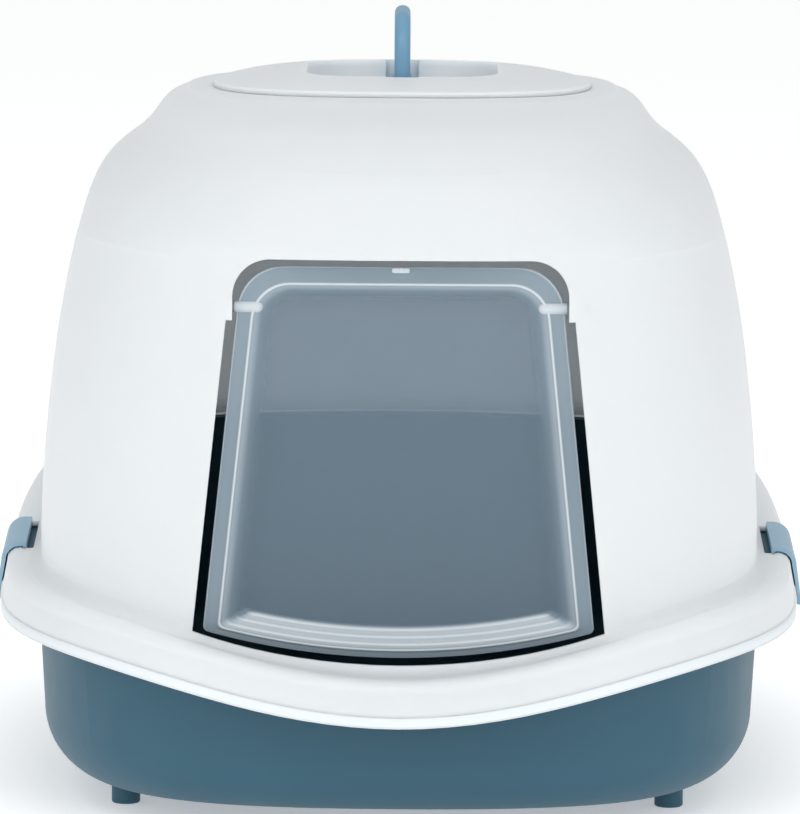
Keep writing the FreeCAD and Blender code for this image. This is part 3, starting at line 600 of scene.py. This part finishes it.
def brimPoint(quarter, u, inset, rise):
    side, end = quarter
    sideHandle, cornerAcross, cornerAlong, endHandle = brim["shares"]
    v = 1 - u
    weights = (v ** 4, 4 * v ** 3 * u, 6 * v * v * u * u, 4 * v * u ** 3, u ** 4)
    across = weights[0] + weights[1] + weights[2] * cornerAcross + weights[3] * endHandle
    along = weights[1] * sideHandle + weights[2] * cornerAlong + weights[3] + weights[4]
    reach = brim["halfLength"] - end * brim["middle"] - inset
    y = brim["middle"] + end * reach * along
    seam = seamHeight(y)
    if end < 0:  # dips under the door
        seam -= (brim["seamSide"] - brim["seamFront"]) * (1 + math.cos(math.pi * across)) / 2
    return (side * (brim["halfWidth"] - inset) * across, y, seam + rise)


def makeBrimLip():
    # each quarter runs from the side to the end, or back again
    quarters = (((1, 1), True), ((-1, 1), False), ((-1, -1), True), ((1, -1), False))
    rows = []
    for inset, rise in brim["section"]:
        row = []
        for quarter, towardsEnd in quarters:
            for step in range(brim["steps"]):
                u = step / brim["steps"] if towardsEnd else 1 - step / brim["steps"]
                row.append(brimPoint(quarter, u, inset, rise))
        rows.append(row)
    verts, faces = [], []
    addRows(verts, faces, rows, closed=True)
    piece = addMesh("brimLip", verts, faces, lipPlastic)
    outwardFaces(piece)
    return piece


brimLip = makeBrimLip()
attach(brimLip, "hood")
print("brim lip made")


# filter pad: felt, crowned, with a pinched edge

pad = {
    "rings": 14,
    "around": 96,
    "crown": 0.0012,
    "edge": 0.0035,
    "pinch": 0.6,
    "square": 0.28,
    "crownShares": (0.8, 0.55, 0.3),  # rings on the crown, as shares of the pad's size
}


def makePad():
    low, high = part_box("carbon_filter")
    middle = (low + high) / 2
    halfX, halfY, halfZ = (high - low) / 2
    rows = []
    for step in range(pad["rings"] + 1):
        turn = math.pi * (step / pad["rings"] - 0.5)
        pull = pad["edge"] * (1 - math.cos(turn) ** pad["pinch"])
        z = middle.z + (halfZ - pad["crown"]) * math.sin(turn)
        row = []
        for c, s in turnSteps(pad["around"]):
            x = (halfX - pull) * squared(c, pad["square"])
            y = (halfY - pull) * squared(s, pad["square"])
            row.append((middle.x + x, middle.y + y, z))
        rows.append(row)
    rim = rows[-1]
    for share in pad["crownShares"]:
        lift = pad["crown"] * (1 - share ** 2)
        top = []
        for x, y, z in rim:
            top.append((middle.x + (x - middle.x) * share, middle.y + (y - middle.y) * share, z + lift))
        rows.append(top)
    verts, faces = [], []
    start = addRows(verts, faces, rows)
    capEnds(verts, faces, start, pad["around"])
    piece = addMesh("filterPad", verts, faces, filterFelt)
    outwardFaces(piece)
    return piece


filterPad = makePad()
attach(filterPad, "hood")
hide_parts("carbon_filter")
print("filter pad made")


# floor, light and camera

studio = {
    "floorColour": (0.93, 0.94, 0.945),
    "floorRough": 0.9,
    "floorGlow": 0.38,
    "floorHalf": 20,
    "floorBehind": 40,
    "skyColour": (1.0, 1.0, 1.0),
    "skyStrength": 0.62,
    "aim": (0, 0, 0.2),  # all lamps look at the middle of the box
}
lamps = {
    "keyLeft": {"place": (-2.2, -3.0, 1.5), "size": (2.0, 1.6), "power": 15.5, "colour": (1, 1, 1)},
    "keyRight": {"place": (2.2, -3.0, 1.5), "size": (2.0, 1.6), "power": 15.5, "colour": (1, 1, 1)},
    "frontTop": {"place": (0, -2.4, 2.8), "size": (3.0, 1.4), "power": 25.5, "colour": (1, 1, 1)},
    "overhead": {"place": (0, 0.3, 3.0), "size": (2.5, 2.5), "power": 9.0, "colour": (0.86, 0.94, 1.0)},
}
photoView = {
    "place": (0.0, -3.1, 0.55),
    "pitchDown": 6.85,
    "roll": 0.4,
    "lens": 269.8,
    "sensor": 36,
    "farEnd": 100,
}


def makeFloor():
    material, _, shader = startMaterial("paleFloor")
    shader.inputs["Base Color"].default_value = (*studio["floorColour"], 1)
    shader.inputs["Roughness"].default_value = studio["floorRough"]
    shader.inputs["Emission Color"].default_value = (1, 1, 1, 1)
    shader.inputs["Emission Strength"].default_value = studio["floorGlow"]
    half, behind = studio["floorHalf"], studio["floorBehind"]
    corners = [(-half, -half, 0), (half, -half, 0), (half, behind, 0), (-half, behind, 0)]
    floor = addMesh("floor", corners, [(0, 1, 2, 3)], material)
    return floor


def makeSky():
    world = bpy.data.worlds.new("paleRoom")
    scene.world = world
    world.use_nodes = True
    sky = world.node_tree.nodes["Background"]
    sky.inputs["Color"].default_value = (*studio["skyColour"], 1)
    sky.inputs["Strength"].default_value = studio["skyStrength"]


def softBox(name, lamp):
    light = bpy.data.lights.new(name, "AREA")
    light.shape = "RECTANGLE"
    light.size, light.size_y = lamp["size"]
    light.energy = lamp["power"]
    light.color = lamp["colour"]
    box = bpy.data.objects.new(name, light)
    scene.collection.objects.link(box)
    box.location = lamp["place"]
    look = Vector(studio["aim"]) - Vector(lamp["place"])
    box.rotation_euler = look.to_track_quat("-Z", "Y").to_euler()


def makeCamera():
    cameraData = bpy.data.cameras.new("photoCamera")
    cameraData.lens = photoView["lens"]
    cameraData.sensor_width = photoView["sensor"]
    cameraData.clip_end = photoView["farEnd"]
    camera = bpy.data.objects.new("photoCamera", cameraData)
    scene.collection.objects.link(camera)
    camera.location = photoView["place"]
    camera.rotation_mode = "ZYX"
    tilt = math.radians(90 - photoView["pitchDown"])
    camera.rotation_euler = (tilt, 0, math.radians(photoView["roll"]))
    scene.camera = camera


makeFloor()
makeSky()
for name, lamp in lamps.items():
    softBox(name, lamp)
makeCamera()
scene.view_settings.view_transform = "Standard"
print("light and camera set")
